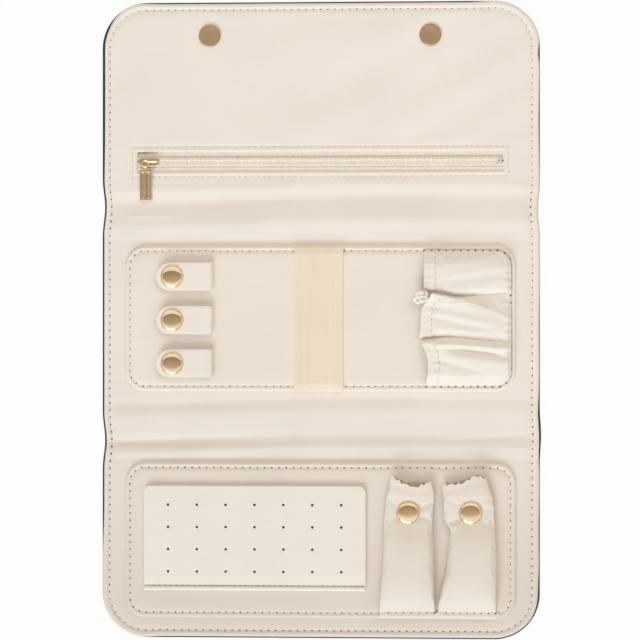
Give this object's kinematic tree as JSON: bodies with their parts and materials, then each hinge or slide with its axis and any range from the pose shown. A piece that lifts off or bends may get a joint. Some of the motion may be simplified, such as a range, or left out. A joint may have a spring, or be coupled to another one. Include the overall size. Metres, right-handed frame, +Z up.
{
  "type": "travel jewelry case",
  "caption": "Trifold soft jewelry case lying open: zip pocket flap, necklace tabs, elastic band, gathered pockets, earring leaf and ring rolls.",
  "frame": {"origin": "on the surface it rests on, under the middle of the open case", "axes": "+X to the right along the folds, +Y towards the closing flap, +Z up out of the lining"},
  "size_m": [0.2406, 0.349, 0.0141],
  "materials": {
    "cover_velvet": "dark teal velvet, matt with a soft sheen",
    "lining_suede": "cream microsuede, matt",
    "pocket_cloth": "cream plain weave, matt",
    "elastic": "ribbed elastic, matt",
    "card_board": "grey-brown binder's board, matt",
    "wadding": "white polyester wadding, matt",
    "zip_coil": "moulded nylon coil, satin",
    "gold_metal": "polished light gold plating",
    "matt_brass": "brushed antique brass, satin"
  },
  "bodies": {
    "centre": {"cover_centre": "cover_velvet", "board_centre": "card_board", "pad_centre": "wadding", "lining_centre": "lining_suede", "centre_panel": "lining_suede", "centre_panel_foam": "wadding", "elastic_band": "elastic", "tab_base_1": "lining_suede", "tab_base_2": "lining_suede", "tab_base_3": "lining_suede", "tab_studs": "gold_metal", "pocket_1": "lining_suede", "pocket_2": "lining_suede", "pocket_3": "lining_suede", "pocket_elastics": "elastic"},
    "upper_spine": {"cover_upper_spine": "cover_velvet", "pad_upper_spine": "wadding", "lining_upper_spine": "lining_suede"},
    "flap": {"cover_flap": "cover_velvet", "board_flap": "card_board", "lining_flap": "lining_suede", "magnet_discs": "matt_brass", "magnet_washers": "matt_brass", "zip_tape_upper": "pocket_cloth", "zip_tape_lower": "pocket_cloth", "zip_coil_upper": "zip_coil", "zip_coil_lower": "zip_coil", "zip_end_stop": "gold_metal", "zip_pocket_bag": "pocket_cloth"},
    "zip_slider": {"zip_slider": "gold_metal"},
    "zip_pull": {"zip_pull": "gold_metal"},
    "lower_spine": {"cover_lower_spine": "cover_velvet", "pad_lower_spine": "wadding", "lining_lower_spine": "lining_suede"},
    "base": {"cover_base": "cover_velvet", "board_base": "card_board", "pad_base": "wadding", "lining_base": "lining_suede", "base_panel": "lining_suede", "base_panel_foam": "wadding", "catch_discs": "matt_brass", "catch_washers": "matt_brass", "earring_leaf_hem": "lining_suede", "ring_roll_hems": "lining_suede", "ring_roll_studs": "gold_metal"},
    "earring_leaf": {"earring_leaf": "lining_suede", "earring_leaf_backing": "pocket_cloth"},
    "ring_roll_left": {"ring_roll_left": "lining_suede", "ring_filling_left": "wadding", "ring_snap_left": "gold_metal"},
    "ring_roll_right": {"ring_roll_right": "lining_suede", "ring_filling_right": "wadding", "ring_snap_right": "gold_metal"},
    "tab_1": {"tab_strap_1": "lining_suede", "tab_snap_1": "gold_metal"},
    "tab_2": {"tab_strap_2": "lining_suede", "tab_snap_2": "gold_metal"},
    "tab_3": {"tab_strap_3": "lining_suede", "tab_snap_3": "gold_metal"}
  },
  "joints": [
    {"name": "upper_spine_fold", "type": "hinge", "parent": "centre", "child": "upper_spine", "pos_m": [0, 0.0479, 0.004], "axis": [1, 0, 0], "range_deg": [0, 90]},
    {"name": "flap_fold", "type": "hinge", "parent": "upper_spine", "child": "flap", "pos_m": [0, 0.0779, 0.004], "axis": [1, 0, 0], "range_deg": [0, 91.85]},
    {"name": "lower_spine_fold", "type": "hinge", "parent": "centre", "child": "lower_spine", "pos_m": [0, -0.053, 0.004], "axis": [-1, 0, 0], "range_deg": [0, 90]},
    {"name": "base_fold", "type": "hinge", "parent": "lower_spine", "child": "base", "pos_m": [0, -0.075, 0.004], "axis": [-1, 0, 0], "range_deg": [0, 90]},
    {"name": "zip_slide", "type": "slide", "parent": "flap", "child": "zip_slider", "axis": [1, 0, 0], "range_m": [0, 0.186]},
    {"name": "zip_pull_turn", "type": "hinge", "parent": "zip_slider", "child": "zip_pull", "pos_m": [-0.0941, 0.087, 0.0061], "axis": [1, 0, 0], "range_deg": [-187.6, 0]},
    {"name": "earring_leaf_lift", "type": "hinge", "parent": "base", "child": "earring_leaf", "pos_m": [0, -0.1453, 0.0085], "axis": [-1, 0, 0], "range_deg": [-165, 0]},
    {"name": "ring_roll_left_open", "type": "hinge", "parent": "base", "child": "ring_roll_left", "pos_m": [0.0488, -0.1614, 0.008], "axis": [-1, 0, 0], "range_deg": [-135, 0]},
    {"name": "ring_roll_right_open", "type": "hinge", "parent": "base", "child": "ring_roll_right", "pos_m": [0.0828, -0.1614, 0.008], "axis": [-1, 0, 0], "range_deg": [-135, 0]},
    {"name": "tab_1_open", "type": "hinge", "parent": "centre", "child": "tab_1", "pos_m": [-0.0587, 0.0238, 0.00835], "axis": [0, -1, 0], "range_deg": [-140, 0]},
    {"name": "tab_2_open", "type": "hinge", "parent": "centre", "child": "tab_2", "pos_m": [-0.0587, 0, 0.00835], "axis": [0, -1, 0], "range_deg": [-140, 0]},
    {"name": "tab_3_open", "type": "hinge", "parent": "centre", "child": "tab_3", "pos_m": [-0.0587, -0.0238, 0.00835], "axis": [0, -1, 0], "range_deg": [-140, 0]}
  ],
  "couplings": [
    {"joint": "flap_fold", "follows": "upper_spine_fold", "ratio": 1.0204},
    {"joint": "base_fold", "follows": "lower_spine_fold", "ratio": 1},
    {"joint": "zip_pull_turn", "follows": "upper_spine_fold", "ratio": -2.083}
  ]
}
